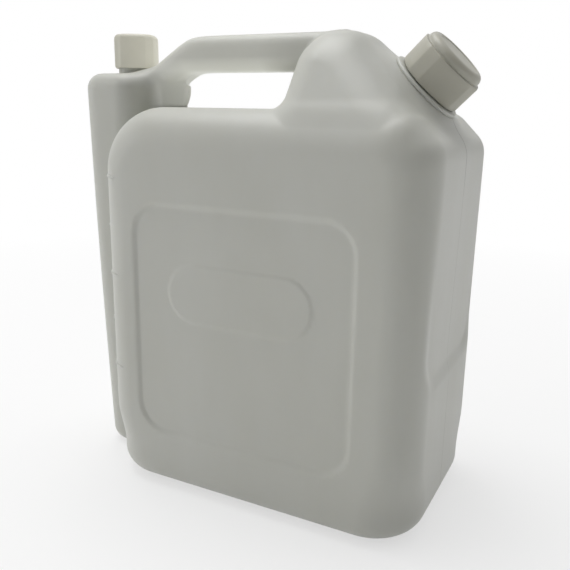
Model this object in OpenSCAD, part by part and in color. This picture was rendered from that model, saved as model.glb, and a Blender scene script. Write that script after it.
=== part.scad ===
// Two-chamber fuel mixing bottle: a blow-moulded bottle with a fuel chamber, an oil chamber beside it and
// a hollow carrying handle, and two screw caps that each hold a soft sealing disc.
// Millimetres, +Z up. The origin is at the middle of the overall box, on the surface that the bottle stands on.

/* [Fuel chamber] */
// Width of the fuel chamber, left to right
chamber_w = 134; // [110:1:160]
// Depth of the fuel chamber, front to back
chamber_d = 85; // [70:1:100]
// Height of the fuel chamber's top, under the handle
chamber_h = 152; // [130:1:175]
// Rounding of the fuel chamber's upright corners and its top edges
edge_r = 15; // [10:0.5:20]
// Rounding of the fuel chamber's bottom edges
foot_r = 10; // [5:0.5:14]
// Rounding of the upper left corner, seen from the front
shoulder_r = 25; // [18:1:34]
// Rounding of the upright corners at the bottom, seen from above
foot_corner_r = 21; // [15:0.5:28]
// Thickness of the blown wall
wall = 1.4; // [1:0.1:2.2]

/* [Filler hump] */
// Height of the hump's crest and of the handle's top
crest_h = 179.6; // [172:0.2:190]
// Depth of the hump at its crest, front to back
crest_d = 48; // [40:1:70]
// Rounding of the crest
crest_r = 13; // [9:0.5:16]
// Left side of the hump at its foot, from the middle of the fuel chamber
hump_x = 6; // [-6:1:12]
// Length of the crest's flat top, which ends where the slope begins
crest_w = 1.6; // [0:0.2:6]
// Height at which the 45 degree slope meets the right side
slope_h = 140.5; // [132:0.5:148]

/* [Oil chamber] */
// Reach of the oil chamber beyond the fuel chamber, at its top
oil_reach = 25; // [20:0.5:34]
// How much narrower the oil chamber is at its foot
oil_taper = 6.2; // [0:0.1:10]
// Depth of the oil chamber, front to back
oil_d = 42.6; // [34:0.2:56]
// Height of the oil chamber's top
oil_h = 165.2; // [158:0.2:172]
// Reach of the oil chamber past the side of the fuel chamber, which it grows into
oil_lap = 4; // [2:0.5:6]
// Rounding of the oil chamber's upright corners
oil_r = 10; // [8:0.5:12]
// Rounding of the oil chamber's top and bottom edges
oil_rim_r = 6.5; // [3:0.5:8]

/* [Handle] */
// Height of the grip's section
grip_h = 13.7; // [11:0.1:18]
// Depth of the grip, front to back
grip_d = 19; // [19:0.5:26]
// Thickness of the sloping root between the grip and the oil chamber
root_t = 10.5; // [9:0.1:14]
// Angle of the root's slope, in degrees
root_angle = 32.5; // [25:0.5:42]
// Length of that root
root_l = 24; // [20:0.5:28]
// Distance from the finger gap's left end to the root's upper end
root_shift = 4; // [2:0.5:6]
// Width of the finger gap under the grip, from the pinched web to the hump's foot
gap_w = 55.5; // [50:0.5:60]
// Width of the post between the root and the oil chamber, seen from the front
post_w = 9; // [6:0.5:14]
// Thickness of the pinched web in the finger gap's lower left corner
web_t = 2; // [1.4:0.1:3]
// Reach of that web into the finger gap
web_w = 7; // [3:0.5:9]

/* [Panels] */
// Width of the recessed panel on the front and the back
panel_w = 91; // [70:1:96]
// Height of the recessed panel
panel_h = 92; // [70:1:100]
// Height of the panel's lower edge above the base
panel_z = 24.8; // [18:0.2:34]
// Corner radius of the panel
panel_r = 11; // [6:0.5:16]
// How far the panel lies left of the middle of the fuel chamber
panel_shift = 2; // [0:0.5:4]
// Depth of the panel's recess
panel_sunk = 1; // [0.5:0.1:1.6]
// Length of the raised label field in the panel
label_w = 60; // [40:1:70]
// Height of the raised label field
label_h = 22.5; // [16:0.5:30]
// Height of the label field's middle above the base
label_z = 84.2; // [70:0.2:95]
// How far the label field stands proud of the panel
label_proud = 0.5; // [0.3:0.1:0.9]
// Height of the recess in the right side
side_h = 76; // [50:1:80]
// Width of the recess in the right side
side_w = 62; // [40:1:66]
// Height of that recess's lower edge above the base
side_z = 59; // [52:0.5:64]
// Depth of the recess in the right side
side_sunk = 1.3; // [0.6:0.1:1.8]

/* [Filler neck] */
// Distance of the filler neck's axis from the slope's lower end, along the slope
neck_up = 25.4; // [24:0.2:30]
// Length of the filler neck above the slope
neck_l = 15.1; // [13:0.1:18]
// Outer diameter of the filler neck
neck_d = 21; // [19:0.1:22]
// Bore of the filler neck
neck_bore = 18.6; // [15:0.1:18.8]
// Diameter of the rim below the filler cap
rim_d = 28.8; // [27:0.1:30]
// Thickness of that rim
rim_t = 1.2; // [0.8:0.1:1.8]
// Height of the cone that carries the rim
cone_h = 2.2; // [1.5:0.1:2.6]
// Diameter of that cone at its foot
cone_d = 38; // [34:0.5:42]

/* [Filler cap] */
// Diameter of the filler cap over its rounded corners
cap_d = 27; // [26:0.1:29]
// Distance between opposite flats of the filler cap
cap_flats = 25.4; // [25:0.1:26]
// Height of the filler cap
cap_h = 13.6; // [13:0.1:16]
// Height of the filler cap's flats
cap_grip_h = 10.4; // [8:0.1:11.5]
// Diameter of the filler cap's crown
cap_crown_d = 23.4; // [22:0.1:25]
// Inner diameter of the filler cap
cap_bore = 23; // [22.8:0.1:23.6]
// Thickness of the filler cap's end
cap_end = 1.6; // [1.2:0.1:2.2]

/* [Oil neck] */
// Distance of the oil neck's axis from the left side of the fuel chamber
oil_neck_out = 10.2; // [9:0.1:12]
// Length of the oil neck above the oil chamber
oil_neck_l = 13.4; // [11:0.1:15]
// Outer diameter of the oil neck
oil_neck_d = 15.4; // [14:0.1:16]
// Bore of the oil neck
oil_bore = 13; // [10:0.1:13.4]

/* [Oil cap] */
// Diameter of the oil cap
oil_cap_d = 19.6; // [19:0.1:21]
// Height of the oil cap
oil_cap_h = 13.7; // [12:0.1:15]
// Rounding of the oil cap's top edge
oil_cap_r = 2.4; // [1:0.1:3]
// Inner diameter of the oil cap
oil_cap_bore = 17.2; // [16.8:0.1:17.6]
// Thickness of the oil cap's end
oil_cap_end = 1.5; // [1.2:0.1:2.2]

/* [Sealing discs] */
// Thickness of each sealing disc
disc_t = 1; // [0.6:0.1:1.6]
// Clearance between a disc and the cap around it, on the diameter
disc_play = 0.5; // [0.2:0.1:1]
// Clearance between a disc and the faces that it lies between
disc_gap = 0.15; // [0.05:0.05:0.3]

/* [Hidden] */
body_tint = "#d6d8d0";
cap_tint = "#cfccbc";
disc_tint = "#efefe8";
// Facets of a shape that is blended into a rounded shell
soft = 24;
// Facets of a true round
round = 96;
// Height over which the bottom's wider corners turn into the upright ones
foot_rise = 14;
// Spare length of a cutting tool past the face that it cuts
over = 1;

half_w = chamber_w / 2;
half_d = chamber_d / 2;
// The slope is the plane where x + z has this value
slope_sum = half_w + slope_h;
// Foot of the filler neck's axis on the slope
neck_x = half_w - neck_up * cos(45);
neck_z = slope_h + neck_up * sin(45);
// The rounded crest touches the slope's plane
crest_z = crest_h - crest_r;
crest_x = slope_sum - crest_r * sqrt(2) - crest_z;
grip_z = crest_h - grip_h / 2;
gap_left = hump_x - gap_w;
// Where the top of the sloping root meets the top of the grip
root_top_x = gap_left + root_shift;
oil_neck_x = -half_w - oil_neck_out;
oil_side = half_w + oil_reach;
// Height of each cap's lower edge above the foot of its neck
cap_base = neck_l + 2 * disc_gap + disc_t + cap_end - cap_h;
oil_cap_base = oil_neck_l + 2 * disc_gap + disc_t + oil_cap_end - oil_cap_h;
crown_r = 2;
// How much narrower the root is than the grip on each side, and the post than the root
root_step = 0.8;
// Length that is left solid at the root's lower end, in wall thicknesses
root_plug = 4;
post_x = gap_left - web_w - post_w;
// The post ends in the middle of the root's thickness
post_top = crest_h - (root_top_x - post_x) * tan(root_angle) - root_t / 2;
// How far the web's upper and lower corners lie left of its tip
web_slant = 3;
// Distance from the neck's axis to the lower end of the hump's rounded ridge
hump_short = 4;
// Smallest width that a shape is given
hair = 0.01;
// Rightmost reach of the filler cap's crown, which overhangs the right side
cap_reach = neck_x + (cap_base + cap_h - crown_r + cap_crown_d / 2 - crown_r) * cos(45) + crown_r;
middle = (max(cap_reach, half_w) - oil_side) / 2;

// Moves the children to the frame with the origin in the middle of the overall box
module placed() {
    translate([-middle, 0, 0]) children();
}

// Moves the children to the foot of the filler neck, with +Z along its axis
module on_slope() {
    translate([neck_x, 0, neck_z]) rotate([0, 45, 0]) children();
}

// A filled ring with a round edge, axis along Z; a ball where ring_r is 0
module bead(ring_r, tube_r) {
    rotate_extrude($fn = soft) intersection() {
        translate([ring_r, 0]) circle(r = tube_r, $fn = soft);
        translate([0, -tube_r]) square([ring_r + tube_r, 2 * tube_r]);
    }
}

// The children, in front and mirrored behind
module front_and_back(y) {
    for (side = [-1, 1]) translate([0, side * y, 0]) children();
}

// Rounded box of the fuel chamber, with every face moved in by inset
module chamber(inset) {
    r = edge_r - inset;
    y = half_d - edge_r;
    hull() {
        for (x = [-1, 1] * (half_w - foot_corner_r)) front_and_back(half_d - foot_corner_r)
            translate([x, 0, foot_r]) bead(foot_corner_r - foot_r, foot_r - inset);
        for (x = [-1, 1] * (half_w - edge_r)) front_and_back(y)
            translate([x, 0, foot_r + foot_rise]) bead(0, r);
        front_and_back(y)
            translate([-half_w + shoulder_r, 0, chamber_h - shoulder_r])
                rotate([90, 0, 0]) bead(shoulder_r - edge_r, r);
        front_and_back(y)
            translate([half_w - edge_r, 0, slope_sum - half_w + edge_r - edge_r * sqrt(2)])
                bead(0, r);
        front_and_back(y)
            translate([slope_sum - edge_r * sqrt(2) - chamber_h + edge_r, 0, chamber_h - edge_r])
                bead(0, r);
    }
}

// Hump that carries the filler neck, with its crest level with the handle
module hump(inset) {
    foot_z = chamber_h - edge_r;
    slope_x = neck_x - hump_short;
    hull() {
        front_and_back(half_d - edge_r) {
            translate([hump_x + edge_r, 0, foot_z]) bead(0, edge_r - inset);
            translate([slope_x, 0, slope_sum - edge_r * sqrt(2) - slope_x])
                bead(0, edge_r - inset);
        }
        for (x = [crest_x - crest_w, crest_x])
            front_and_back(crest_d / 2 - crest_r)
                translate([x, 0, crest_z]) bead(0, crest_r - inset);
    }
}

// Narrow oil chamber at the left, tapering towards its foot
module oil_chamber(inset) {
    tube_r = oil_rim_r - inset;
    y = oil_d / 2 - oil_r;
    inner_x = -half_w + oil_lap - oil_r;
    hull() front_and_back(y) {
        for (x = [-oil_side + oil_r, inner_x])
            translate([x, 0, oil_h - oil_rim_r]) bead(oil_r - oil_rim_r, tube_r);
        for (x = [-oil_side + oil_r + oil_taper, inner_x])
            translate([x, 0, oil_rim_r]) bead(oil_r - oil_rim_r, tube_r);
    }
}

// Flat-sided section with round ends, tall by deep, drawn about the origin
module grip_section(tall, deep) {
    square([tall, deep - tall], center = true);
    for (side = [-1, 1]) translate([0, side * (deep - tall) / 2]) circle(d = tall, $fn = round);
}

// Grip and its sloping root, with every face moved in by inset
module handle(inset) {
    tall = grip_h - 2 * inset;
    thin = root_t - 2 * inset;
    deep = grip_d - 2 * inset;
    // Grip, which runs into the hump
    translate([root_top_x + inset, 0, grip_z]) rotate([0, 90, 0])
        linear_extrude(height = crest_x - crest_w - root_top_x - inset)
            grip_section(tall, deep);
    // Root, a little narrower, with its top meeting the top of the grip
    translate([root_top_x, 0, crest_h]) rotate([0, -root_angle, 0])
        translate([over, 0, -root_t / 2]) rotate([0, -90, 0])
            linear_extrude(height = root_l - inset * root_plug) grip_section(thin, deep - 2 * root_step);
}

// Post that joins the handle's root to the oil chamber, and the pinched web beside it
module handle_post() {
    foot_z = chamber_h - edge_r;
    web_top = crest_h - grip_h - over;
    translate([post_x, -grip_d / 2 + 2 * root_step, foot_z])
        cube([post_w, grip_d - 4 * root_step, post_top - foot_z]);
    translate([0, web_t / 2, 0]) rotate([90, 0, 0]) linear_extrude(height = web_t)
        polygon([
            [post_x + over, chamber_h - over],
            [gap_left - web_slant, chamber_h - over],
            [gap_left, chamber_h + web_w],
            [gap_left - web_slant, web_top],
            [post_x + over, web_top]
        ]);
}

// Rectangle with round corners, centred on the origin
module soft_rectangle(w, h, r) {
    square([w - 2 * r, h], center = true);
    square([w, h - 2 * r], center = true);
    for (x = [-1, 1] * (w / 2 - r), y = [-1, 1] * (h / 2 - r))
        translate([x, y]) circle(r = r, $fn = round);
}

// What the recesses take off the skin, grown by inset on the side of the wall
module recesses(inset) {
    depth = panel_sunk + inset;
    for (side = [0, 180]) rotate([0, 0, side])
        translate([side == 0 ? -panel_shift : panel_shift, 0, 0])
        difference() {
            translate([0, -half_d + depth, panel_z + panel_h / 2]) rotate([90, 0, 0])
                linear_extrude(height = depth + over)
                    soft_rectangle(panel_w + 2 * inset, panel_h + 2 * inset, panel_r + inset);
            translate([0, -half_d + depth + over, label_z]) rotate([90, 0, 0])
                linear_extrude(height = label_proud + over)
                    soft_rectangle(label_w - 2 * inset, label_h - 2 * inset, label_h / 2 - inset - hair);
        }
    translate([half_w - side_sunk - inset, 0, side_z + side_h / 2]) rotate([90, 0, 90])
        linear_extrude(height = side_sunk + inset + over)
            soft_rectangle(side_w + 2 * inset, side_h + 2 * inset, panel_r + inset);
}

// Filler neck: cone, rim and threaded barrel, on the slope
module filler_neck() {
    on_slope() {
        translate([0, 0, -over]) cylinder(d = cone_d, h = over, $fn = round);
        cylinder(d1 = cone_d, d2 = rim_d, h = cone_h, $fn = round);
        translate([0, 0, cone_h]) cylinder(d = rim_d, h = rim_t, $fn = round);
        translate([0, 0, cone_h]) cylinder(d = neck_d, h = neck_l - cone_h, $fn = round);
    }
}

module oil_neck() {
    translate([oil_neck_x, 0, oil_h - wall]) cylinder(d = oil_neck_d, h = oil_neck_l + wall, $fn = round);
}

module bottle() {
    color(body_tint) placed() difference() {
        union() {
            difference() {
                union() {
                    chamber(0);
                    hump(0);
                }
                recesses(0);
            }
            oil_chamber(0);
            handle(0);
            handle_post();
            filler_neck();
            oil_neck();
        }
        difference() {
            union() {
                chamber(wall);
                hump(wall);
            }
            recesses(wall);
        }
        handle(wall);
        difference() {
            oil_chamber(wall);
            chamber(0);
        }
        on_slope() translate([0, 0, -wall - over])
            cylinder(d = neck_bore, h = neck_l + wall + 2 * over, $fn = round);
        translate([oil_neck_x, 0, oil_h - wall - over])
            cylinder(d = oil_bore, h = oil_neck_l + wall + 2 * over, $fn = round);
    }
}

// Disc with a rounded upper edge
module domed_disc(d, h, r) {
    rotate_extrude($fn = round) {
        square([d / 2 - r, h]);
        square([d / 2, h - r]);
        intersection() {
            translate([d / 2 - r, h - r]) circle(r = r, $fn = round);
            square([d, h]);
        }
    }
}

module filler_cap() {
    color(cap_tint) placed() on_slope() translate([0, 0, cap_base]) difference() {
        union() {
            intersection() {
                cylinder(d = cap_d, h = cap_grip_h, $fn = round);
                translate([-cap_flats / 2, -cap_flats / 2, 0]) cube([cap_flats, cap_flats, cap_grip_h]);
            }
            domed_disc(cap_crown_d, cap_h, crown_r);
        }
        translate([0, 0, -over]) cylinder(d = cap_bore, h = cap_h - cap_end + over, $fn = round);
    }
}

module filler_cap_disc() {
    color(disc_tint) placed() on_slope() translate([0, 0, neck_l + disc_gap])
        cylinder(d = cap_bore - disc_play, h = disc_t, $fn = round);
}

module oil_cap() {
    color(cap_tint) placed() translate([oil_neck_x, 0, oil_h + oil_cap_base]) difference() {
        domed_disc(oil_cap_d, oil_cap_h, oil_cap_r);
        translate([0, 0, -over]) cylinder(d = oil_cap_bore, h = oil_cap_h - oil_cap_end + over, $fn = round);
    }
}

module oil_cap_disc() {
    color(disc_tint) placed() translate([oil_neck_x, 0, oil_h + oil_neck_l + disc_gap])
        cylinder(d = oil_cap_bore - disc_play, h = disc_t, $fn = round);
}

bottle();
filler_cap();
filler_cap_disc();
oil_cap();
oil_cap_disc();
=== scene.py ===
"""Two-chamber fuel mixing bottle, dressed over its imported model."""

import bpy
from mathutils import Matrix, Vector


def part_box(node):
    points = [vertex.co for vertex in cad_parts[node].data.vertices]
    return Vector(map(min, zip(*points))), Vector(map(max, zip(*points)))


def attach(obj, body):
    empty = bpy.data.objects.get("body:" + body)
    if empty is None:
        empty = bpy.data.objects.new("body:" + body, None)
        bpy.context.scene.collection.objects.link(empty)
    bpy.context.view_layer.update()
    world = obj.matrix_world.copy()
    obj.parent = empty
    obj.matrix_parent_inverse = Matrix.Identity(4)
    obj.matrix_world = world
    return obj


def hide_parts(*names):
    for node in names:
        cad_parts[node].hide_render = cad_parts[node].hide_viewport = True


bl_info = {
    "name": "Fuel mixing bottle",
    "version": (1, 0, 0),
    "blender": (4, 5, 0),
    "location": "View3D > Sidebar > Bottle",
    "description": "Builds a blow-moulded mixing bottle with its caps, its finishes and a plain studio",
    "category": "Add Mesh",
}

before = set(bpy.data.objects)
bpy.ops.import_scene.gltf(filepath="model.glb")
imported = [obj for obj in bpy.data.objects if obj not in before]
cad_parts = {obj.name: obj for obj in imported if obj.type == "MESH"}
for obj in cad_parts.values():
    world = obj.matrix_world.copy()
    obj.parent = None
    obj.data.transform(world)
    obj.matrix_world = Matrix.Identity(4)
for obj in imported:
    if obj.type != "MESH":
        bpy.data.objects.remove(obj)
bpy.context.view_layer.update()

import math

import bpy
import numpy as np
from bpy.props import FloatProperty, FloatVectorProperty, IntProperty, PointerProperty
from mathutils import Matrix, Vector

MM = 0.001
ROOT_2 = math.sqrt(2)
BOTTLE_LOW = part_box("bottle")[0]

# Places of lamps in metres and of the camera in millimetres from the fuel chamber's middle
TOP_LIGHT, TOP_TARGET = (-0.25, 0.1, 1.1), (0, 0, 0.1)
SIDE_LIGHT, SIDE_TARGET = (-0.55, -0.4, 0.3), (0, 0, 0.09)
CAMERA_PLACE = (121.494, -244.80, 152.203)
CAMERA_TURN, CAMERA_DOWN, CAMERA_ROLL = math.radians(27.096), math.radians(14.512), math.radians(0.964)


# Properties

def length(name, description, millimetres):
    return FloatProperty(
        name=name, description=description, default=millimetres * MM, min=0.0,
        precision=4, subtype="DISTANCE", unit="LENGTH",
    )


def tint(name, description, red, green, blue):
    return FloatVectorProperty(
        name=name, description=description, default=(red, green, blue), size=3,
        min=0.0, max=1.0, subtype="COLOR",
    )


def share(name, description, value):
    return FloatProperty(
        name=name, description=description, default=value, min=0.0, max=1.0, subtype="FACTOR",
    )


def turn_of(name, description, degrees):
    return FloatProperty(
        name=name, description=description, default=math.radians(degrees), min=0.0, max=math.pi / 2,
        subtype="ANGLE", unit="ROTATION",
    )


class FuelChamberSizes(bpy.types.PropertyGroup):
    width: length("Width", "Width of the fuel chamber", 134)
    depth: length("Depth", "Depth of the fuel chamber", 85)
    height: length("Height", "Height of the top under the handle", 152)
    edge: length("Edge rounding", "Rounding of the upright and top edges", 15)
    foot: length("Foot rounding", "Rounding of the bottom edges", 10)
    foot_corner: length("Foot corners", "Rounding of the upright corners at the foot", 21)
    shoulder: length("Shoulder", "Rounding of the upper left corner", 25)
    wall: length("Wall", "Thickness of the blown wall", 1.4)
    slope_low: length("Slope's foot", "Height at which the slope meets the right side", 140.5)
    slope_soft: length("Slope's softness", "Softness of the edge between slope and right side", 3)
    foot_top: length("Foot's top", "Height at which the foot's corners turn into the upper ones", 22)
    foot_fade: length("Foot's fade", "Half the height over which they do", 9)
    join: length("Join", "Height at which the foot's roundings turn into the top's", 68.4)
    join_fade: length("Join's fade", "Half the height over which they do", 12)


class HumpSizes(bpy.types.PropertyGroup):
    crest: length("Crest", "Height of the crest", 179.6)
    left: length("Left side", "Left side of the foot, right of the chamber's middle", 6)
    lean: share("Lean", "How far the left side leans in, for each millimetre up", 0.05)
    rounding: length("Rounding", "Rounding of the hump's edges", 12)
    right: length("Right side", "Right side of the foot, right of the chamber's middle", 59)
    foot: length("Foot", "Height of the hump's lower end inside the chamber", 132)
    front_tilt: turn_of("Front tilt", "How far the front and back lean in", 32.54)
    front_out: length("Front's place", "Distance of the leaning front from the chamber's base line", 112.03)
    front_inset: length("Front inset", "How far the front stays inside the chamber's depth", 0.5)
    front_soft: length("Front's softness", "Softness of the edge between the two", 4)
    ridge_soft: length("Ridge's softness", "Softness of the edge between crest and slope", 3.6)


class OilChamberSizes(bpy.types.PropertyGroup):
    reach: length("Reach", "Reach beyond the fuel chamber at the top", 25)
    taper: length("Taper", "How much narrower the foot is", 6.2)
    bulge: length("Bulge", "How far the outer side swells halfway up", 0.8)
    depth: length("Depth", "Depth, front to back", 42.6)
    height: length("Height", "Height of the top", 165.2)
    corner: length("Corner rounding", "Rounding of the upright corners", 10)
    rim: length("Rim rounding", "Rounding of the top and bottom edges", 6.5)
    lap: length("Lap", "Reach into the fuel chamber's side", 4)


class HandleSizes(bpy.types.PropertyGroup):
    grip_height: length("Grip height", "Height of the grip's section", 13.7)
    grip_depth: length("Grip depth", "Depth of the grip's section", 19)
    rounding: length("Rounding", "Rounding of the grip's edges", 5.2)
    gap: length("Finger gap", "Width of the finger gap", 55.5)
    post: length("Post width", "Width of the post under the root", 9)
    web: length("Web thickness", "Thickness of the pinched web", 1.8)
    web_reach: length("Web reach", "Reach of the pinched web into the gap", 7)
    angle: turn_of("Root angle", "Slope of the root", 32.5)
    bend: length("Bend", "Distance of the top's bend from the gap's left end", 4)
    under_bend: length("Lower bend", "Distance of the underside's bend from the top's bend", 2)
    top_soft: length("Bend's softness", "Softness of the top's bend", 2.2)
    under_soft: length("Lower bend's softness", "Softness of the underside's bend", 1.6)
    sunk: length("Sunk ends", "How far the grip runs into the hump", 16)
    post_low: length("Post's foot", "Height of the post's lower end inside the chamber", 139)
    post_high: length("Post's top", "Height of the post's upper end inside the root", 161)
    post_soft: length("Post's softness", "Softness of the post's edges", 0.7)
    web_curve: share("Web's curve", "How fast the web's edge curves back above and below its middle", 0.05)


class PanelSizes(bpy.types.PropertyGroup):
    width: length("Panel width", "Width of the recessed panel", 91)
    height: length("Panel height", "Height of the recessed panel", 92)
    foot: length("Panel's foot", "Height of the panel's lower edge", 24.8)
    corner: length("Panel corners", "Corner radius of the panel", 12)
    shift: length("Panel shift", "Distance of the panel left of the chamber's middle", 2)
    sunk: length("Panel depth", "Depth of the recess", 1)
    label_width: length("Label width", "Width of the raised label field", 60)
    label_height: length("Label height", "Height of the raised label field", 22.5)
    label_middle: length("Label's middle", "Height of the label field's middle", 84.2)
    label_proud: length("Label relief", "How far the label field stands proud", 0.5)
    side_width: length("Side width", "Width of the recess in the right side", 62)
    side_height: length("Side height", "Height of the recess in the right side", 76)
    side_foot: length("Side's foot", "Height of that recess's lower edge", 59)
    side_sunk: length("Side depth", "Depth of that recess", 1.3)
    mark_step: length("Mark spacing", "Distance between graduation marks", 19.3)
    mark_low: length("Lowest mark", "Height of the lowest graduation mark", 48.5)
    marks: IntProperty(name="Marks", description="Number of graduation marks", default=5, min=1, max=9)


class FillerSizes(bpy.types.PropertyGroup):
    up: length("Up the slope", "Distance of the neck's axis from the slope's foot", 25.4)
    neck: length("Neck length", "Length of the neck above the slope", 15.1)
    neck_wide: length("Neck diameter", "Outer diameter of the neck", 21)
    bore: length("Bore", "Bore of the neck", 18.6)
    rim: length("Rim diameter", "Diameter of the rim below the cap", 28.8)
    rim_thick: length("Rim thickness", "Thickness of that rim", 1.2)
    cone: length("Cone height", "Height of the cone under the rim", 2.2)
    cone_wide: length("Cone diameter", "Diameter of the cone's foot", 38)
    cone_deep: length("Cone depth", "How far the cone runs on under the slope", 6)
    pitch: length("Pitch", "Rise of the thread in one turn", 4)
    base: length("Cap's foot", "Distance of the cap's lower edge from the slope", 3.8)
    wide: length("Cap diameter", "Diameter over the cap's corners", 26.9)
    height: length("Cap height", "Height of the cap", 14.2)
    grip: length("Cap facets", "Height of the cap's facets", 11)
    crown: length("Crown diameter", "Diameter of the stepped-in crown", 23.8)
    crown_round: length("Crown rounding", "Rounding of the crown's edge", 2.4)
    inner: length("Cap bore", "Inner diameter of the cap", 23)
    end: length("Cap end", "Thickness of the cap's end", 1.6)
    facet_turn: turn_of("Facet turn", "How far the cap's facets are turned about its axis", 30)


class OilNeckSizes(bpy.types.PropertyGroup):
    out: length("Neck's place", "Distance of the axis from the chamber's left side", 10.2)
    neck: length("Neck length", "Length of the neck", 13.4)
    neck_wide: length("Neck diameter", "Outer diameter of the neck", 15.4)
    bore: length("Bore", "Bore of the neck", 13)
    pitch: length("Pitch", "Rise of the thread in one turn", 3)
    base: length("Cap's foot", "Distance of the cap's lower edge from the chamber's top", 2.5)
    wide: length("Cap diameter", "Diameter over the cap's corners", 19.6)
    height: length("Cap height", "Height of the cap", 13.7)
    grip: length("Cap facets", "Height of the cap's facets", 11.6)
    crown: length("Crown diameter", "Diameter of the crown", 18.9)
    crown_round: length("Crown rounding", "Rounding of the crown's edge", 2)
    inner: length("Cap bore", "Inner diameter of the cap", 17.2)
    end: length("Cap end", "Thickness of the cap's end", 1.5)
    facet_turn: turn_of("Facet turn", "How far the cap's facets are turned about its axis", 27)


class Finishes(bpy.types.PropertyGroup):
    plastic: tint("Bottle", "Colour of the natural plastic", 0.60, 0.605, 0.565)
    thick: tint("Thick plastic", "Colour where the wall is thicker", 0.55, 0.552, 0.50)
    caps: tint("Caps", "Colour of the caps", 0.50, 0.49, 0.42)
    caps_thick: tint("Thick caps", "Colour of the caps' thicker places", 0.44, 0.43, 0.36)
    disc: tint("Discs", "Colour of the sealing discs", 0.82, 0.82, 0.79)
    gloss: share("Roughness", "Roughness of the bottle's skin", 0.42)
    glow: share("Translucency", "How much light passes through the skin", 0.3)
    # Painted glow: through sets an emission on the handle and its web that stands in for light shining
    # through the thin plastic.
    through: share("Light through", "Light that comes through the thin handle and its web", 0.44)
    # Painted glow: the oil cap's emission, standing in for light shining through the cap.
    oil_cap_painted_glow: share("Light through a cap", "Light that comes through the oil cap's far side", 0.6)
    seam: length("Seam", "Half width of the mould's parting line", 0.4)


class StudioSettings(bpy.types.PropertyGroup):
    floor: tint("Floor", "Colour of the floor", 0.9, 0.9, 0.9)
    sky: FloatProperty(name="Sky", description="Strength of the even light", default=0.7, min=0.0)
    dark: share("Dark side", "How much darker the even light is on the camera's side of the room", 0.95)
    dark_turn: turn_of("Dark side's place", "Direction of the dark side, right of the front", 46)
    key: FloatProperty(
        name="Top light", description="Power of the top light", default=5.5, min=0.0, unit="POWER",
    )
    fill: FloatProperty(
        name="Side light", description="Power of the side light", default=0.4, min=0.0, unit="POWER",
    )
    lens: FloatProperty(
        name="Lens", description="Focal length of the camera", default=43.06, min=1.0,
        subtype="DISTANCE_CAMERA",
    )


class FilletSizes(bpy.types.PropertyGroup):
    low: length("Chamber and hump, low", "Fillet between chamber and hump below the chamber's top", 0.6)
    high: length("Chamber and hump, high", "Fillet between chamber and hump above the chamber's top", 5)
    high_fade: length("Change", "Half the height over which one turns into the other", 4)
    cone: length("Cone", "Fillet around the filler neck's cone", 3)
    root: length("Root", "Fillet between oil chamber and handle", 8)
    post: length("Post", "Fillet around the post", 3.5)
    join: length("Join", "Fillet between the two chambers", 2)
    bores: length("Bore depth", "How far the neck holes reach under the surface", 9)


GROUPS = {
    "chamber": FuelChamberSizes,
    "hump": HumpSizes,
    "oil": OilChamberSizes,
    "handle": HandleSizes,
    "panel": PanelSizes,
    "filler": FillerSizes,
    "oil_neck": OilNeckSizes,
    "fillet": FilletSizes,
    "finish": Finishes,
    "studio": StudioSettings,
}


class BottleSettings(bpy.types.PropertyGroup):
    chamber: PointerProperty(
        type=FuelChamberSizes, name="Fuel chamber", description="Sizes of the fuel chamber",
    )
    hump: PointerProperty(type=HumpSizes, name="Hump", description="Sizes of the filler hump")
    oil: PointerProperty(type=OilChamberSizes, name="Oil chamber", description="Sizes of the oil chamber")
    handle: PointerProperty(type=HandleSizes, name="Handle", description="Sizes of the handle")
    panel: PointerProperty(type=PanelSizes, name="Panels", description="Sizes of the recesses and marks")
    filler: PointerProperty(
        type=FillerSizes, name="Filler", description="Sizes of the filler neck and its cap",
    )
    oil_neck: PointerProperty(
        type=OilNeckSizes, name="Oil neck", description="Sizes of the oil neck and its cap",
    )
    fillet: PointerProperty(type=FilletSizes, name="Fillets", description="Softness of the joins")
    finish: PointerProperty(type=Finishes, name="Finishes", description="Colours and gloss")
    studio: PointerProperty(type=StudioSettings, name="Studio", description="Floor, light and camera")


class Millimetres:
    """Reads the lengths of a property group in millimetres."""

    def __init__(self, group):
        self.group = group

    def __getattr__(self, name):
        return getattr(self.group, name) / MM


def sizes(name):
    return Millimetres(getattr(bpy.context.scene.bottle, name))


# Fields: distances in millimetres, x from the middle of the fuel chamber, negative inside

def rounded_max(a, b, r):
    """Overlap of two fields, its edge rounded."""
    outside = np.hypot(np.maximum(a + r, 0), np.maximum(b + r, 0))
    return np.minimum(np.maximum(a, b), -r) + outside


def blended_min(a, b, width):
    """Union of two fields with a fillet between them."""
    h = np.clip(0.5 + 0.5 * (b - a) / width, 0, 1)
    return b + (a - b) * h - width * h * (1 - h)


def blended_max(a, b, width):
    """Overlap of two fields, its edge softened at every depth."""
    return -blended_min(-a, -b, width)


def ramp(t, half_width):
    """0 to 1 around t = 0, with soft ends."""
    t = np.clip(t / (2 * half_width) + 0.5, 0, 1)
    return t * t * (3 - 2 * t)


def soft_kink(t, width):
    """0 for negative t and t for positive t, with a soft bend between."""
    return width * np.logaddexp(0, t / width)


def rounded_rectangle(u, v, w, h, r):
    a = np.abs(u) - w / 2 + r
    b = np.abs(v) - h / 2 + r
    return np.hypot(np.maximum(a, 0), np.maximum(b, 0)) + np.minimum(np.maximum(a, b), 0) - r


def slope_sum():
    chamber = sizes("chamber")
    return chamber.width / 2 + chamber.slope_low


def filler_foot():
    """Where the filler neck's axis meets the slope."""
    chamber, filler = sizes("chamber"), sizes("filler")
    run = filler.up / ROOT_2
    return chamber.width / 2 - run, chamber.slope_low + run


def along_filler(x, y, z):
    """Distance along the filler neck's axis and distance from it."""
    foot_x, foot_z = filler_foot()
    along = (x - foot_x + z - foot_z) / ROOT_2
    across = (x - foot_x - z + foot_z) / ROOT_2
    return along, np.hypot(across, y)


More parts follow.
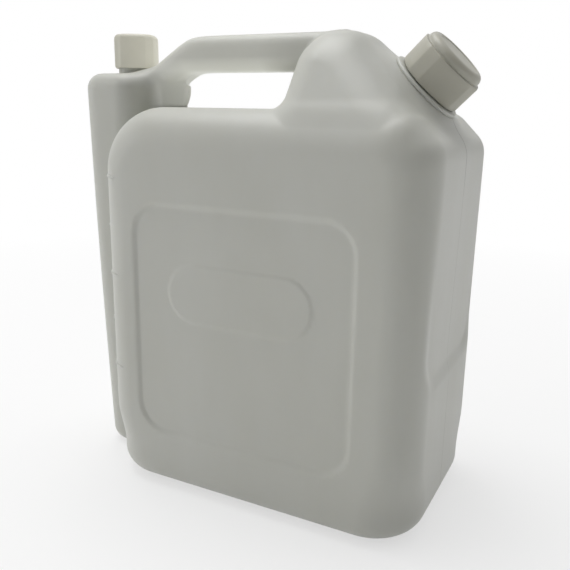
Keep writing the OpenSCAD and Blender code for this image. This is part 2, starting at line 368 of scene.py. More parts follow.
def fuel_chamber(x, y, z):
    s, p = sizes("chamber"), sizes("panel")
    half_w, half_d = s.width / 2, s.depth / 2
    shifted = x + p.shift * np.sign(-y)
    panel = rounded_rectangle(shifted, z - p.foot - p.height / 2, p.width, p.height, p.corner)
    label = rounded_rectangle(
        shifted, z - p.label_middle, p.label_width, p.label_height, p.label_height / 2 - 0.1)
    side = rounded_rectangle(y, z - p.side_foot - p.side_height / 2, p.side_width, p.side_height, p.corner)
    sunk = p.sunk * ramp(-panel, 1.3) - p.label_proud * ramp(-label, 1.0)
    faded = ramp(p.side_foot + p.side_height / 2 - z, p.side_height / 2)
    right = x - half_w + p.side_sunk * ramp(-side, 3.2) * faded
    slope = (x + z - slope_sum()) / ROOT_2
    front = np.abs(y) - half_d + sunk
    corner = s.edge + (s.foot_corner - s.edge) * ramp(s.foot_top - z, s.foot_fade)
    low = rounded_max(rounded_max(np.maximum(-half_w - x, right), front, corner), -z, s.foot)
    profile = rounded_max(-half_w - x, z - s.height, s.shoulder)
    profile = blended_max(profile, blended_max(right, slope, s.slope_soft), s.slope_soft)
    high = rounded_max(profile, front, s.edge)
    return low + (high - low) * ramp(z - s.join, s.join_fade)


def filler_hump(x, y, z):
    s, c = sizes("hump"), sizes("chamber")
    slope = (x + z - slope_sum()) / ROOT_2
    lean, tilt = s.group.lean, s.group.front_tilt
    left = s.left + (z - c.height + c.edge) * lean - x
    front = math.cos(tilt) * np.abs(y) + math.sin(tilt) * z - s.front_out
    front = blended_max(front, np.abs(y) - c.depth / 2 + s.front_inset, s.front_soft)
    ridge = blended_max(z - s.crest, slope, s.ridge_soft)
    ridge = rounded_max(ridge, left, s.rounding)
    ridge = rounded_max(ridge, front, s.rounding)
    return rounded_max(np.maximum(ridge, s.foot - z), x - s.right, s.rounding)


def oil_chamber(x, y, z):
    s, c = sizes("oil"), sizes("chamber")
    up = np.clip(z / s.height, 0, 1)
    side = -c.width / 2 - s.reach + s.taper * (1 - up) - s.bulge * np.sin(np.pi * up)
    plan = rounded_max(side - x, np.abs(y) - s.depth / 2, s.corner)
    plan = rounded_max(plan, x + c.width / 2 - s.lap, s.corner)
    return rounded_max(plan, np.abs(z - s.height / 2) - s.height / 2, s.rim)


def gap_left():
    return sizes("hump").left - sizes("handle").gap


def handle(x, y, z):
    s, h, c, o = sizes("handle"), sizes("hump"), sizes("chamber"), sizes("oil")
    rise = math.tan(s.group.angle)
    top_x = gap_left() + s.bend
    under_x = top_x - s.under_bend
    top = h.crest - rise * soft_kink(top_x - x, s.top_soft)
    under = h.crest - s.grip_height - rise * soft_kink(under_x - x, s.under_soft)
    lean = 1 / np.sqrt(1 + (rise * ramp(top_x - x, 5)) ** 2)
    bar = (np.abs(z - (top + under) / 2) - (top - under) / 2) * lean
    bar = rounded_max(bar, np.abs(y) - s.grip_depth / 2, s.rounding)
    return np.maximum(bar, np.maximum(-c.width / 2 - o.lap - x, x - h.left - s.sunk))


def handle_post(x, y, z):
    s, c = sizes("handle"), sizes("chamber")
    right = gap_left() - s.web_reach
    wide = s.grip_depth / 2 - 0.4
    half = s.web / 2 + (wide - s.web / 2) * ramp(right - x + 1.5, 3.4)
    tip = gap_left() - s.group.web_curve * (z - c.height - s.web_reach) ** 2
    upright = np.maximum(s.post_low - z, z - s.post_high)
    wedge = np.maximum(x - tip, np.maximum(right - s.post - x, upright))
    return rounded_max(wedge, (np.abs(y) - half) * 0.7, s.post_soft)


def neck_cone(x, y, z):
    s = sizes("filler")
    along, out = along_filler(x, y, z)
    run = (s.cone_wide - s.rim) / 2
    cone = (out - s.cone_wide / 2 + run * np.maximum(along, 0) / s.cone) / math.hypot(1, run / s.cone)
    return np.maximum(np.maximum(cone, along - s.cone), -s.cone_deep - along)


def oil_axis():
    return -sizes("chamber").width / 2 - sizes("oil_neck").out


def bores(x, y, z):
    """Holes that the necks stand in, a little narrower than the necks."""
    filler, oil_neck, oil, deep = sizes("filler"), sizes("oil_neck"), sizes("oil"), sizes("fillet").bores
    along, out = along_filler(x, y, z)
    large = np.maximum(out - (filler.neck_wide + filler.bore) / 4, -deep - along)
    out = np.hypot(x - oil_axis(), y)
    small = np.maximum(out - (oil_neck.neck_wide + oil_neck.bore) / 4, oil.height - deep - z)
    return np.minimum(large, small)


def fuel_side(x, y, z):
    """Fuel chamber and hump, with a fillet only above the chamber's front rounding."""
    s = sizes("fillet")
    above = ramp(z - sizes("chamber").height + s.high_fade / 2, s.high_fade)
    fillet = s.low + (s.high - s.low) * above
    return blended_min(fuel_chamber(x, y, z), filler_hump(x, y, z), fillet)


def outer_skin(x, y, z):
    """The whole blown body without its necks."""
    s = sizes("fillet")
    fuel = blended_min(fuel_side(x, y, z), neck_cone(x, y, z), s.cone)
    oil = blended_min(oil_chamber(x, y, z), handle(x, y, z), s.root)
    oil = blended_min(oil, handle_post(x, y, z), s.post)
    return blended_min(fuel, oil, s.join)


def inner_skin(x, y, z):
    """The two hollows, negative where they are empty."""
    wall = sizes("chamber").wall
    fuel = fuel_side(x, y, z) + wall
    grip = np.maximum(handle(x, y, z) + wall, -60 - x)
    oil = np.maximum(oil_chamber(x, y, z) + wall, 0.4 - fuel_chamber(x, y, z))
    return np.minimum(np.minimum(fuel, grip), oil)


# Meshes

def gradient(field, points, step=0.02):
    slopes = []
    for axis in range(3):
        shift = np.zeros(3)
        shift[axis] = step
        slopes.append((field(*(points + shift).T) - field(*(points - shift).T)) / (2 * step))
    return np.stack(slopes, -1)


def surface_net(field, lines):
    """Points and four-sided faces of a field's zero surface, on a grid of lines along x, y and z."""
    grid = np.meshgrid(*lines, indexing="ij")
    value = field(*grid)
    inside = value < 0
    counts = [len(line) - 1 for line in lines]
    total = np.zeros(counts, int)
    corners = [(i, j, k) for i in (0, 1) for j in (0, 1) for k in (0, 1)]
    for i, j, k in corners:
        total += inside[i:counts[0] + i, j:counts[1] + j, k:counts[2] + k]
    cells = np.argwhere((total > 0) & (total < 8))
    number = np.full(counts, -1)
    number[tuple(cells.T)] = np.arange(len(cells))
    points = np.zeros((len(cells), 3))
    hits = np.zeros((len(cells), 1))
    for a in corners:
        for axis in range(3):
            if a[axis]:
                continue
            b = list(a)
            b[axis] = 1
            at_a, at_b = tuple((cells + a).T), tuple((cells + b).T)
            value_a, value_b = value[at_a], value[at_b]
            crossed = (value_a < 0) != (value_b < 0)
            share_b = np.where(crossed, value_a / np.where(crossed, value_a - value_b, 1), 0)
            point_a = np.stack([g[at_a] for g in grid], -1)
            point_b = np.stack([g[at_b] for g in grid], -1)
            points += np.where(crossed[:, None], point_a + share_b[:, None] * (point_b - point_a), 0)
            hits += crossed[:, None]
    points /= hits
    faces = []
    for axis in range(3):
        other, third = (axis + 1) % 3, (axis + 2) % 3
        low = [slice(1, n) for n in counts]
        low[axis] = slice(0, counts[axis])
        high = list(low)
        high[axis] = slice(1, counts[axis] + 1)
        first, last = inside[tuple(low)], inside[tuple(high)]
        at = np.argwhere(first != last)
        outward = first[tuple(at.T)]
        at = at + [0 if i == axis else 1 for i in range(3)]
        loop = []
        for step_other, step_third in ((0, 0), (-1, 0), (-1, -1), (0, -1)):
            cell = at.copy()
            cell[:, other] += step_other
            cell[:, third] += step_third
            loop.append(number[tuple(cell.T)])
        loop = np.stack(loop, -1)
        faces.append(np.where(outward[:, None], loop, loop[:, ::-1]))
    faces = np.concatenate(faces)
    reach = min(np.min(np.diff(line)) for line in lines) * 0.6
    for _ in range(4):
        slope = gradient(field, points)
        move = field(*points.T)[:, None] * slope / np.maximum((slope ** 2).sum(-1), 0.05)[:, None]
        size = np.linalg.norm(move, axis=-1)[:, None]
        points -= move * np.minimum(1, reach / np.maximum(size, 1e-9))
    return points, faces


def without(points, faces, drop):
    """Takes the faces out whose middle the test picks, and the points that nothing uses."""
    keep = faces[~drop(*points[faces].mean(1).T)]
    used, again = np.unique(keep, return_inverse=True)
    return points[used], again.reshape(keep.shape)


def lines_between(low, high, step):
    return [np.linspace(a, b, int(round((b - a) / s)) + 1) for a, b, s in zip(low, high, step)]


def place_in_row(points):
    """Millimetres about the fuel chamber to metres in the row frame."""
    chamber, oil = sizes("chamber"), sizes("oil")
    middle = BOTTLE_LOW[0] / MM + chamber.width / 2 + oil.reach
    return (points + [middle, 0, 0]) * MM


def finish_mesh(name, points, faces, material, normals=None, sharp=None):
    mesh = bpy.data.meshes.new(name)
    mesh.from_pydata(points.tolist(), [], [list(map(int, f)) for f in faces])
    mesh.validate()
    mesh.shade_smooth()
    if normals is not None:
        mesh.normals_split_custom_set_from_vertices(normals.tolist())
    if sharp:
        mesh.set_sharp_from_angle(angle=sharp)
    mesh.materials.append(material)
    piece = bpy.data.objects.new(name, mesh)
    bpy.context.scene.collection.objects.link(piece)
    return piece


def turned(rings, count):
    """Points and faces of rings of the same number of points, joined end to end."""
    points = np.concatenate(rings)
    faces = []
    around = np.arange(count)
    for ring in range(len(rings) - 1):
        a, b = ring * count, (ring + 1) * count
        ahead = (around + 1) % count
        faces.append(np.stack([a + around, a + ahead, b + ahead, b + around], -1))
    return points, [list(f) for f in np.concatenate(faces)]


def capped(points, faces, ring, count, flip):
    """Closes a ring with a fan about its middle."""
    middle = points[ring * count:(ring + 1) * count].mean(0)
    around = ring * count + np.arange(count)
    centre = len(points)
    points = np.concatenate([points, middle[None]])
    for a, b in zip(around, np.roll(around, -1)):
        faces.append([b, a, centre] if flip else [a, b, centre])
    return points, faces


def thread(turn, height, pitch, first, turns, proud):
    """Relief of a right-handed screw thread at an angle and a height."""
    wound = (height - first) / pitch - turn / (2 * math.pi)
    whole = np.round(wound)
    off = np.abs(wound - whole) * pitch
    along = whole + turn / (2 * math.pi)
    ends = np.clip(np.minimum(along, turns - along) / 0.1, 0, 1)
    crest = np.clip((pitch * 0.26 - off) / (pitch * 0.14), 0, 1)
    return proud * ends * crest


def neck_rings(s, depth, count):
    """Rings of a threaded neck: up its outside, over its lip and down its bore."""
    turn = np.arange(count) / count * 2 * math.pi
    outer, inner = s.neck_wide / 2, s.bore / 2
    steps = [(outer, t, 1) for t in np.arange(-depth, s.neck - 0.75, 0.3)]
    steps += [(outer - 0.4 + 0.4 * math.cos(a), s.neck - 0.4 + 0.4 * math.sin(a), 0)
              for a in np.linspace(0, 1.57, 5)]
    steps += [(inner + 0.3 - 0.3 * math.sin(a), s.neck - 0.3 + 0.3 * math.cos(a), 0)
              for a in np.linspace(0, 1.57, 4)]
    steps += [(inner, t, 0) for t in (s.neck * 0.5, 0, -depth)]
    rings = []
    for radius, height, threaded in steps:
        r = np.full(count, radius)
        if threaded:
            r = r + thread(turn, height, s.pitch, s.neck * 0.42, 1.6, 0.75)
        rings.append(np.stack([r * np.cos(turn), r * np.sin(turn), np.full(count, height)], -1))
    return rings


def rim_rings(s, count):
    """Rings of the rim that lies on the cone, its edges rounded."""
    turn = np.arange(count) / count * 2 * math.pi
    out, low, high, inner = s.rim / 2, s.cone - 0.3, s.cone + s.rim_thick, s.neck_wide / 2 - 0.3
    profile = [(inner, low), (out - 0.6, low), (out - 0.2, low + 0.3), (out, low + 0.6), (out, high - 0.5)]
    profile += [(out - 0.15, high - 0.15), (out - 0.5, high), (inner, high + 0.1)]
    return [np.stack([r * np.cos(turn), r * np.sin(turn), np.full(count, t)], -1) for r, t in profile]


def facets(turn, corner, turned_by):
    """Distance from the axis to a skirt of four wide, slightly crowned faces and four narrow flat ones."""
    ball = corner * 1.5
    half_wide = math.radians(31)
    back = ball * 0.38
    reach = []
    for side in range(4):
        phi = np.angle(np.exp(1j * (turn - turned_by - side * math.pi / 2)))
        crowned = -back * np.cos(phi) + np.sqrt(ball ** 2 - (back * np.sin(phi)) ** 2)
        reach.append(np.where(np.abs(phi) < 1.2, crowned, 99))
        phi = np.angle(np.exp(1j * (turn - turned_by - (side + 0.5) * math.pi / 2)))
        flat = corner * math.cos(math.pi / 4 - half_wide) / np.cos(phi)
        reach.append(np.where(np.abs(phi) < 1.2, flat, 99))
    reach = np.array(reach)
    return (reach ** -220.0).sum(0) ** (-1 / 220.0)


def cap_rings(s, facet_turn, count, stepped):
    """Rings of a screw cap from the middle of its end, down its outside and up its bore."""
    turn = np.arange(count) / count * 2 * math.pi
    skirt = facets(turn, s.wide / 2, facet_turn)
    crown, top, rounding = s.crown / 2, s.base + s.height, s.crown_round
    inside = s.base + s.height - s.end
    recess = 0.35 * stepped
    rings = [(np.full(count, crown * k), top - recess) for k in (0.03, 0.3, 0.55)]
    rings += [(np.full(count, crown - rounding - inwards), top - recess * low) for inwards, low in
              ((1.2, 1), (0.9, 0.5), (0.6, 0), (0.3, 0))]
    edge = np.full(count, crown) if stepped else skirt - 0.05
    for a in np.linspace(0.1, 1.57, 9):
        rings.append((edge - rounding + rounding * math.sin(a), top - rounding + rounding * math.cos(a)))
    step_z = s.base + s.grip
    if stepped:
        rings += [(np.minimum(skirt, crown + add), step_z + up) for add, up in
                  ((0, 0.55), (0.12, 0.2), (0.45, 0.03), (0.9, 0))]
        rings += [(skirt - 0.35, step_z - 0.02), (skirt - 0.1, step_z - 0.12)]
    rings += [(skirt, z) for z in np.linspace(step_z - 0.4, s.base + 0.9, 6)]
    rings += [(skirt - 0.15, s.base + 0.4), (skirt - 0.5, s.base)]
    inner = s.inner / 2
    rings += [(np.full(count, inner + 0.25), s.base), (np.full(count, inner), s.base + 0.4)]
    for z in np.arange(s.base + 0.7, inside - 1.2, 0.3):
        grown = thread(turn, z, s.pitch, s.neck * 0.42 - s.pitch * 1.5, 1.4, 0.7)
        rings.append((inner - grown, z))
    rings += [(np.full(count, inner), inside - 0.9), (np.full(count, inner - 0.02), inside - 0.02)]
    rings += [(np.full(count, inner * k), inside) for k in (0.97, 0.5, 0.05)]
    return [np.stack([r * np.cos(turn), r * np.sin(turn), np.full(count, z)], -1) for r, z in rings]


def onto_slope(points):
    """Turns points about the filler neck's axis into place."""
    foot_x, foot_z = filler_foot()
    turn = np.array(Matrix.Rotation(math.pi / 4, 3, "Y"))
    return points @ turn.T + [foot_x, 0, foot_z]


def onto_oil_top(points):
    return points + [oil_axis(), 0, sizes("oil").height]


# Finishes

class Socket:
    """A node's output that takes part in Python arithmetic."""

    def __init__(self, finish, out):
        self.finish = finish
        self.out = out

    def _math(self, operation, *values):
        return self.finish.node("ShaderNodeMath", {"operation": operation}, *values)

    def __add__(self, other):
        return self._math("ADD", self, other)

    def __radd__(self, other):
        return self._math("ADD", other, self)

    def __sub__(self, other):
        return self._math("SUBTRACT", self, other)

    def __rsub__(self, other):
        return self._math("SUBTRACT", other, self)

    def __mul__(self, other):
        return self._math("MULTIPLY", self, other)

    def __rmul__(self, other):
        return self._math("MULTIPLY", other, self)

    def __truediv__(self, other):
        return self._math("DIVIDE", self, other)

    def __pow__(self, other):
        return self._math("POWER", self, other)

    def __abs__(self):
        return self._math("ABSOLUTE", self)

    def above(self, low):
        return self._math("MAXIMUM", self, low)

    def below(self, high):
        return self._math("MINIMUM", self, high)


class Finish:
    """A node material under construction."""

    def __init__(self, name):
        self.material = bpy.data.materials.new(name)
        self.material.use_nodes = True
        self.tree = self.material.node_tree
        self.tree.nodes.clear()
        self.place = self.node("ShaderNodeTexCoord", {}, output="Object")

    def node(self, kind, settings, *values, output=0, **named):
        """Adds a node: its settings first, then the values or links of its sockets."""
        node = self.tree.nodes.new(kind)
        for key, value in settings.items():
            setattr(node, key, value)
        for key, value in list(enumerate(values)) + list(named.items()):
            socket = node.inputs[key if isinstance(key, int) else key.replace("_", " ")]
            if isinstance(value, Socket):
                self.tree.links.new(value.out, socket)
            else:
                socket.default_value = value
        return Socket(self, node.outputs[output])

    def noise(self, scale, detail=2.0, stretch=(1, 1, 1), rough=0.5):
        spread = self.node("ShaderNodeVectorMath", {"operation": "MULTIPLY"}, self.place, stretch)
        return self.node(
            "ShaderNodeTexNoise", {}, output="Fac",
            Vector=spread, Scale=scale, Detail=detail, Roughness=rough)

    def axes(self):
        """Object coordinates x, y and z in metres."""
        split = self.tree.nodes.new("ShaderNodeSeparateXYZ")
        self.tree.links.new(self.place.out, split.inputs[0])
        return [Socket(self, out) for out in split.outputs]

    def between(self, factor, first, second):
        """Mixes two colours."""
        mix = self.tree.nodes.new("ShaderNodeMix")
        mix.data_type = "RGBA"
        self.tree.links.new(factor.out, mix.inputs[0])
        for socket, colour in ((mix.inputs[6], first), (mix.inputs[7], second)):
            if isinstance(colour, Socket):
                self.tree.links.new(colour.out, socket)
            else:
                socket.default_value = (*colour, 1)
        return Socket(self, mix.outputs[2])

    def bump(self, height, distance, strength=1.0):
        return self.node(
            "ShaderNodeBump", {}, output="Normal", Height=height, Distance=distance, Strength=strength)

    def surface(self, **sockets):
        shader = self.node("ShaderNodeBsdfPrincipled", {}, **sockets)
        self.node_out(shader)
        return self.material

    def node_out(self, shader):
        out = self.tree.nodes.new("ShaderNodeOutputMaterial")
        self.tree.links.new(shader.out, out.inputs[0])


def made(name, build):
    """The named material, built once."""
    return bpy.data.materials.get(name) or build(name)


def bottle_plastic(name="bottle_plastic"):
    """Natural blow-moulded plastic: waxy, faintly rippled, with a parting line all round, painted shade in
    the seam's crease on the upper right side and a painted glow on the handle.
    """
    look = bpy.context.scene.bottle.finish
    f = Finish(name)
    x, y, z = f.axes()
    cloud = f.noise(26, 3, (1, 1, 0.45))
    flow = f.noise(120, 3, (1, 1, 0.12))
    fine = f.noise(900, 2)
    line = (1 - abs(y) / look.seam).above(0)
    scuff = (f.noise(420, 4, (1, 1, 0.5)) - 0.62).above(0) * 3
    thick = (cloud * 1.6 - 0.4 + flow * 0.3).above(0).below(1)
    colour = f.between(thick, tuple(look.plastic), tuple(look.thick))
    shoulder, right, grip_middle, grip_half, grip_deep = 0.122, 0.071, -0.018, 0.034, 0.012
    chamber_top, grip_top = 0.1522, 0.1712
    # Painted shade: the parting line is darkened faintly all round, and much more on the right side above
    # the shoulder, where the dark stands for the shade in the seam's crease.
    crease_shade = ((z - shoulder) * 90).above(0).below(1) * ((x - right) * 400).above(0).below(1)
    colour = f.between(line * (crease_shade * 0.75 + 0.12), colour, tuple(v * 0.45 for v in look.thick))
    # Painted glow: an emission on the handle above the chamber's top, within the grip's depth and strongest
    # towards its underside, standing in for light shining through the thin handle and its web.
    along = ((grip_half - abs(x - grip_middle)) * 60).above(0).below(1)
    within = ((grip_deep - abs(y)) * 600).above(0).below(1)
    over = ((z - chamber_top) * 1000).above(0).below(1)
    under = ((grip_top - z) * 200).above(0).below(1) * 0.8 + 0.2
    thin = tuple(v * look.through for v in look.plastic)
    light = f.between(along * within * over * under, (0, 0, 0), thin)
    rough = (fine * 0.1 + cloud * 0.08 + scuff * 0.12 + (look.gloss - 0.09)).below(1)
    relief = line * 0.25 + fine * 0.02 + flow * 0.10 + cloud * 0.35
    return f.surface(
        Base_Color=colour, Roughness=rough, IOR=1.5, Normal=f.bump(relief, 0.0008, 0.6),
        Emission_Color=light, Emission_Strength=1.0, Subsurface_Weight=look.glow,
        Subsurface_Radius=(1.0, 0.95, 0.8), Subsurface_Scale=0.003)


def cap_plastic(name="cap_plastic"):
    """Injection-moulded caps: the same plastic, smoother and yellower, with a painted glow on the oil cap
    that stands in for light through it.
    """
    look = bpy.context.scene.bottle.finish
    f = Finish(name)
    x, _, _ = f.axes()
    # Painted glow on the oil cap: emission rising across it from its left edge, standing in for light
    # shining through the cap's far side.
    oil_cap_left = -0.0756
    across = ((x - oil_cap_left) * 50).above(0).below(1) * (x * -1000).above(0).below(1)
    light = f.between(across, (0, 0, 0), tuple(v * look.oil_cap_painted_glow for v in look.caps))
    cloud = f.noise(90, 3)
    fine = f.noise(1500, 2)
    colour = f.between((cloud * 1.8 - 0.4).above(0).below(1), tuple(look.caps), tuple(look.caps_thick))
    rough = fine * 0.08 + cloud * 0.08 + (look.gloss - 0.1)
    relief = fine * 0.03 + cloud * 0.25
    return f.surface(
        Base_Color=colour, Roughness=rough, IOR=1.5, Normal=f.bump(relief, 0.0004, 0.6),
        Emission_Color=light, Emission_Strength=1.0, Subsurface_Weight=look.glow,
        Subsurface_Radius=(1.0, 0.93, 0.75), Subsurface_Scale=0.002)


def disc_foam(name="disc_foam"):
    """Soft foamed liner with fine closed cells."""
    look = bpy.context.scene.bottle.finish
    f = Finish(name)
    cells = f.node("ShaderNodeTexVoronoi", {}, Vector=f.place, Scale=1400.0, output="Distance")
    cloud = f.noise(200, 2)
    dark = tuple(v * 0.86 for v in look.disc)
    colour = f.between((cells * 0.8 + cloud * 0.3).below(1), dark, tuple(look.disc))
    return f.surface(Base_Color=colour, Roughness=cloud * 0.2 + 0.6, Normal=f.bump(cells, 0.0002, 0.5))


def floor_paper(name="floor_paper"):
    """White studio floor that keeps a soft shadow."""
    studio = bpy.context.scene.bottle.studio
    f = Finish(name)
    paper = f.node("ShaderNodeBsdfDiffuse", {}, Color=(*studio.floor, 1))
    white = f.node("ShaderNodeEmission", {}, Color=(1, 1, 1, 1), Strength=1.0)
    rays = [f.node("ShaderNodeLightPath", {}, output=name) for name in
            ("Is Camera Ray", "Is Glossy Ray", "Is Transmission Ray")]
    seen = (rays[0] + rays[1] + rays[2]).below(1)
    x, y, _ = f.axes()
    away = ((x * x + y * y) ** 0.5 * 2.2 - 0.3).above(0).below(1)
    f.node_out(f.node("ShaderNodeMixShader", {}, seen * (away * 0.4 + 0.6), paper, white))
    return f.material


# Operators

class MIXBOTTLE_OT_skin(bpy.types.Operator):
    """Builds the blown bottle: both chambers, hump, handle, recesses and their hollows"""
    bl_idname = "mixbottle.skin"
    bl_label = "Bottle"

    def execute(self, context):
        low, high = [-94, -44.5, -1.5], [69.5, 44.5, 182]
        fine, coarse = (1.15, 1.3, 1.15), (2.6, 2.6, 2.6)

        def outside(x, y, z):
            return np.maximum(outer_skin(x, y, z), -bores(x, y, z))

        points, faces = surface_net(outside, lines_between(low, high, fine))
        points, faces = without(points, faces, lambda x, y, z: outer_skin(x, y, z) < -1.2)
        slopes = gradient(outside, points, 0.05)
        hollow, hollow_faces = surface_net(inner_skin, lines_between(low, high, coarse))
        hollow, hollow_faces = without(hollow, hollow_faces, lambda x, y, z: bores(x, y, z) < 0.4)
        hollow_slopes = -gradient(inner_skin, hollow, 0.05)
        if not len(points) or not len(hollow):
            raise RuntimeError("The bottle's skin came out empty")
        normals = np.concatenate([slopes, hollow_slopes])
        normals /= np.linalg.norm(normals, axis=-1)[:, None]
        all_faces = np.concatenate([faces, hollow_faces[:, ::-1] + len(points)])
        piece = finish_mesh(
            "bottle_skin", place_in_row(np.concatenate([points, hollow])), all_faces,
            made("bottle_plastic", bottle_plastic), normals=normals)
        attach(piece, "bottle")
        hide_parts("bottle")
        return {"FINISHED"}


class MIXBOTTLE_OT_necks(bpy.types.Operator):
    """Builds the threaded filler neck and oil neck"""
    bl_idname = "mixbottle.necks"
    bl_label = "Necks"

    def execute(self, context):
        for name, group, put, depth in (
            ("filler_neck", "filler", onto_slope, 1.8),
            ("oil_neck", "oil_neck", onto_oil_top, 1.6),
        ):
            rings = neck_rings(sizes(group), depth, 144)
            self.piece(name, put, rings + rings[:1], 144)
        rings = rim_rings(sizes("filler"), 192)
        self.piece("filler_rim", onto_slope, rings + rings[:1], 192)
        return {"FINISHED"}

    def piece(self, name, put, rings, count):
        points, faces = turned(rings, count)
        piece = finish_mesh(
            name, place_in_row(put(points)), faces, made("bottle_plastic", bottle_plastic),
            sharp=math.radians(50))
        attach(piece, "bottle")
        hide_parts("bottle")


class MIXBOTTLE_OT_marks(bpy.types.Operator):
    """Builds the raised graduation marks on the fuel chamber's front left edge"""
    bl_idname = "mixbottle.marks"
    bl_label = "Graduation marks"

    def execute(self, context):
        s, p = sizes("chamber"), sizes("panel")
        half_w, half_d = s.width / 2, s.depth / 2
        rings, faces, count = [], [], 12
        for mark in range(context.scene.bottle.panel.marks):
            height = p.mark_low + mark * p.mark_step
            sweep = math.radians(34 if mark % 2 else 62)
            path = np.linspace(math.radians(14), math.radians(14) + sweep, 15)
            first = len(rings) * count
            for i, angle in enumerate(path):
                out = np.array([-math.cos(angle), -math.sin(angle), 0])
                foot = np.array([-half_w + s.edge, -half_d + s.edge, height]) + out * s.edge
                fade = min(i, len(path) - 1 - i, 2) / 2
                around = np.linspace(0, 2 * math.pi, count, endpoint=False)
                lift = 0.45 * np.cos(around)[:, None] * out * max(fade, 0.05)
                swell = 0.55 * np.sin(around)[:, None] * np.array([0, 0, 1]) * max(fade, 0.3)
                rings.append(foot + lift + swell)
            _, loop = turned(rings[first // count:], count)
            faces += [[v + first for v in f] for f in loop]
        points = place_in_row(np.concatenate(rings))
        piece = finish_mesh("graduation_marks", points, faces, made("bottle_plastic", bottle_plastic))
        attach(piece, "bottle")
        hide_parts("bottle")
        return {"FINISHED"}


class MIXBOTTLE_OT_caps(bpy.types.Operator):
    """Builds both screw caps with their facets, crowns and threads"""
    bl_idname = "mixbottle.caps"
    bl_label = "Caps"

    def execute(self, context):
        count = 216
        for name, group, put, stepped in (
            ("filler_cap", "filler", onto_slope, True),
            ("oil_cap", "oil_neck", onto_oil_top, False),
        ):
            facet_turn = getattr(context.scene.bottle, group).facet_turn
            rings = cap_rings(sizes(group), facet_turn, count, stepped)
            points, faces = turned(rings, count)
            points, faces = capped(points, faces, 0, count, True)
            points, faces = capped(points, faces, len(rings) - 1, count, False)
            faces = [f[::-1] for f in faces]
            piece = finish_mesh(
                name + "_shell", place_in_row(put(points)), faces, made("cap_plastic", cap_plastic),
                sharp=math.radians(24))
            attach(piece, name)
            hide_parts(name)
        return {"FINISHED"}


class MIXBOTTLE_OT_discs(bpy.types.Operator):
    """Gives the sealing discs their foam finish"""
    bl_idname = "mixbottle.discs"
    bl_label = "Sealing discs"

    def execute(self, context):
        for name in ("filler_cap_disc", "oil_cap_disc"):
            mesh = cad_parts[name].data
            mesh.materials.clear()
            mesh.materials.append(made("disc_foam", disc_foam))
        return {"FINISHED"}


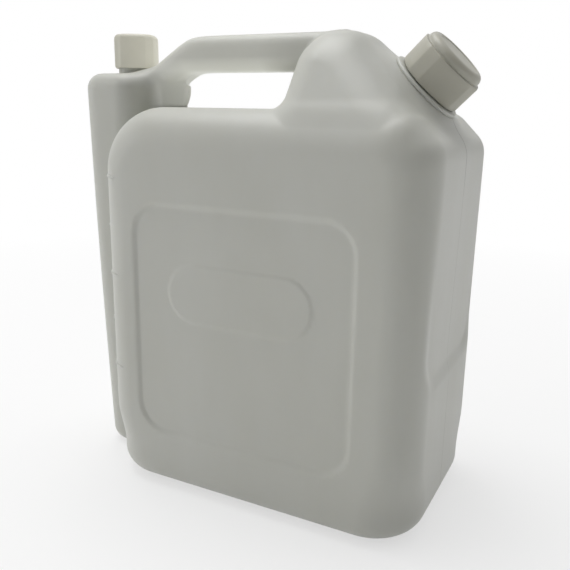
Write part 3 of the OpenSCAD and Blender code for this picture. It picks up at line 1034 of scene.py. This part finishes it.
class MIXBOTTLE_OT_studio(bpy.types.Operator):
    """Sets up the floor, the light and the camera"""
    bl_idname = "mixbottle.studio"
    bl_label = "Studio"

    def execute(self, context):
        scene = context.scene
        studio = scene.bottle.studio
        reach = 3.0
        corners = np.array([[-reach, -reach, 0], [reach, -reach, 0], [reach, reach, 0], [-reach, reach, 0]])
        paper = made("floor_paper", floor_paper)
        finish_mesh("studio_floor", corners - [0, 0, 0.0002], [[0, 1, 2, 3]], paper)
        self.light("top_light", studio.key, 0.7, TOP_LIGHT, TOP_TARGET)
        self.light("side_light", studio.fill, 0.35, SIDE_LIGHT, SIDE_TARGET)
        self.sky(scene, studio)
        self.camera(scene, studio.lens)
        scene.view_settings.view_transform = "Standard"
        return {"FINISHED"}

    def light(self, name, power, size, place, target):
        lamp = bpy.data.lights.new(name, "AREA")
        lamp.energy = power
        lamp.size = size
        holder = bpy.data.objects.new(name, lamp)
        holder.location = place
        holder.rotation_euler = (Vector(target) - Vector(place)).to_track_quat("-Z", "Y").to_euler()
        bpy.context.scene.collection.objects.link(holder)

    def sky(self, scene, studio):
        """Even light, darker on the camera's side of the room, with white behind the object."""
        world = bpy.data.worlds.new("studio_sky")
        world.use_nodes = True
        scene.world = world
        tree = world.node_tree
        paths = tree.nodes.new("ShaderNodeLightPath")
        either = tree.nodes.new("ShaderNodeMath")
        either.operation = "MAXIMUM"
        tree.links.new(paths.outputs["Is Camera Ray"], either.inputs[0])
        tree.links.new(paths.outputs["Is Transmission Ray"], either.inputs[1])
        towards = tree.nodes.new("ShaderNodeTexCoord")
        room = tree.nodes.new("ShaderNodeVectorMath")
        room.operation = "DOT_PRODUCT"
        turn = studio.dark_turn
        room.inputs[1].default_value = (math.sin(turn), -math.cos(turn), 0)
        tree.links.new(towards.outputs["Generated"], room.inputs[0])
        dark = tree.nodes.new("ShaderNodeMapRange")
        dark.interpolation_type = "SMOOTHSTEP"
        tree.links.new(room.outputs["Value"], dark.inputs["Value"])
        dark.inputs["From Min"].default_value = 0.1
        dark.inputs["From Max"].default_value = 0.9
        dark.inputs["To Min"].default_value = studio.sky
        dark.inputs["To Max"].default_value = studio.sky * (1 - studio.dark)
        level = tree.nodes.new("ShaderNodeMix")
        tree.links.new(either.outputs[0], level.inputs[0])
        tree.links.new(dark.outputs[0], level.inputs[2])
        level.inputs[3].default_value = 1.0
        tree.links.new(level.outputs[0], tree.nodes["Background"].inputs["Strength"])
        tree.nodes["Background"].inputs["Color"].default_value = (1, 1, 1, 1)

    def camera(self, scene, lens):
        """The photograph's viewing angle: turned, looking down and rolled slightly."""
        turn, down, roll = CAMERA_TURN, CAMERA_DOWN, CAMERA_ROLL
        ahead = Vector((-math.sin(turn) * math.cos(down), math.cos(turn) * math.cos(down), -math.sin(down)))
        level = Vector((math.cos(turn), math.sin(turn), 0))
        above = level.cross(ahead)
        right = level * math.cos(roll) + above * math.sin(roll)
        up = above * math.cos(roll) - level * math.sin(roll)
        lens_data = bpy.data.cameras.new("camera")
        lens_data.lens = lens
        lens_data.sensor_width = 36
        lens_data.clip_start = 0.01
        holder = bpy.data.objects.new("camera", lens_data)
        place = place_in_row(np.array(CAMERA_PLACE))
        axes = Matrix((right, up, -ahead)).transposed().to_4x4()
        holder.matrix_world = Matrix.Translation(place) @ axes
        scene.collection.objects.link(holder)
        scene.camera = holder


class MIXBOTTLE_PT_panel(bpy.types.Panel):
    """Lists the bottle's pieces and sizes"""
    bl_idname = "MIXBOTTLE_PT_panel"
    bl_label = "Fuel mixing bottle"
    bl_space_type = "VIEW_3D"
    bl_region_type = "UI"
    bl_category = "Bottle"

    def draw(self, context):
        layout = self.layout
        for operator in OPERATORS:
            layout.operator(operator.bl_idname)
        for name, group in GROUPS.items():
            box = layout.box()
            box.label(text=name.replace("_", " ").capitalize())
            for key in group.__annotations__:
                box.prop(getattr(context.scene.bottle, name), key)


OPERATORS = (
    MIXBOTTLE_OT_skin,
    MIXBOTTLE_OT_necks,
    MIXBOTTLE_OT_marks,
    MIXBOTTLE_OT_caps,
    MIXBOTTLE_OT_discs,
    MIXBOTTLE_OT_studio,
)


def register():
    for group in (*GROUPS.values(), BottleSettings):
        bpy.utils.register_class(group)
    bpy.types.Scene.bottle = PointerProperty(type=BottleSettings)
    for operator in OPERATORS:
        bpy.utils.register_class(operator)
    bpy.utils.register_class(MIXBOTTLE_PT_panel)


def unregister():
    bpy.utils.unregister_class(MIXBOTTLE_PT_panel)
    for operator in reversed(OPERATORS):
        bpy.utils.unregister_class(operator)
    del bpy.types.Scene.bottle
    for group in reversed((*GROUPS.values(), BottleSettings)):
        bpy.utils.unregister_class(group)


def main():
    register()
    for operator in OPERATORS:
        family, _, name = operator.bl_idname.partition(".")
        getattr(getattr(bpy.ops, family), name)()


if __name__ == "__main__":
    main()
